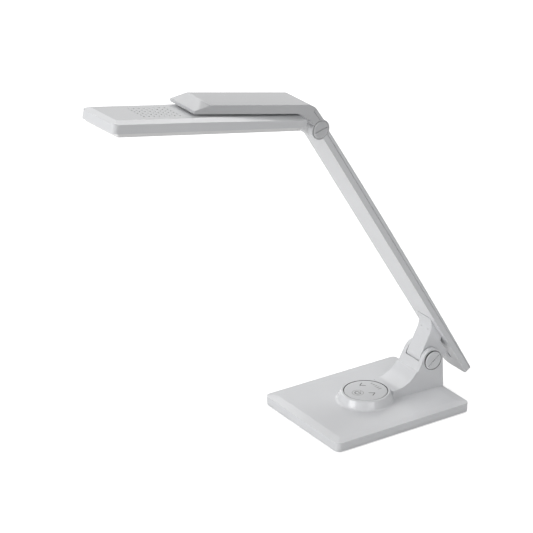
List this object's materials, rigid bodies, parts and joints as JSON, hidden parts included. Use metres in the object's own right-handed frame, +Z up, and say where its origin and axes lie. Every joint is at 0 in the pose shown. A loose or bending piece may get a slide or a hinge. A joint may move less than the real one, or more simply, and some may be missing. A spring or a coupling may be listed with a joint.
{
  "type": "folding desk lamp",
  "caption": "Folding LED desk lamp: weighted base with a round touch pod, flat hinged arm, and a hooded lamp panel that swivels and tilts.",
  "frame": {"origin": "middle of the base's outline on the table surface it stands on", "axes": "+Z up; the lamp panel reaches toward -X, the arm stands at the +X edge of the base, +Y is the side away from the viewer"},
  "size_m": [0.4754, 0.142, 0.4229],
  "materials": {
    "rubber_pad": "matte",
    "white_plastic": "satin",
    "white_paint": "satin",
    "gloss_white": "gloss",
    "steel": "brushed",
    "circuit_board": "matte",
    "dark_plastic": "matte",
    "loom_rubber": "matte",
    "board_metal": "satin",
    "led_yellow": "gloss",
    "milky_plastic": "satin"
  },
  "bodies": {
    "base": {"base_pad": "rubber_pad", "base_bottom": "white_plastic", "base_cover": "white_plastic", "base_screws": "steel", "ballast_plate": "steel", "inlet_board": "circuit_board", "usb_inlet": "steel", "control_board": "circuit_board", "touch_springs": "steel", "touch_disc": "gloss_white", "lower_pin": "steel", "lower_washers": "dark_plastic", "lower_caps": "white_plastic"},
    "arm": {"arm_bracket": "white_paint", "bracket_screws": "steel", "arm_front_shell": "white_plastic", "arm_rear_shell": "white_plastic", "arm_bar": "steel", "arm_screws": "steel", "arm_loom": "loom_rubber", "upper_pin": "steel", "upper_washers": "dark_plastic", "upper_caps": "white_plastic"},
    "hood": {"hood_shell": "white_plastic", "hood_rear_cover": "white_plastic", "hood_cover": "white_plastic", "hood_screws": "steel"},
    "panel": {"swivel_washer": "dark_plastic", "swivel_clip": "steel", "panel_housing": "white_plastic", "swivel_post": "steel", "led_board": "board_metal", "led_chips": "led_yellow", "board_screws": "steel", "panel_frame": "milky_plastic", "light_diffuser": "milky_plastic"}
  },
  "joints": [
    {"name": "arm_hinge", "type": "hinge", "parent": "base", "child": "arm", "pos_m": [0.0765, 0, 0.0465], "axis": [0, 1, 0], "range_deg": [-50, 18]},
    {"name": "head_hinge", "type": "hinge", "parent": "arm", "child": "hood", "pos_m": [-0.08113, 0, 0.35558], "axis": [0, 1, 0], "range_deg": [-124, 40]},
    {"name": "panel_swivel", "type": "hinge", "parent": "hood", "child": "panel", "pos_m": [-0.15762, 0, 0.37087], "axis": [0.1959, 0, 0.9806], "range_deg": [-48.8, 41.2]}
  ]
}
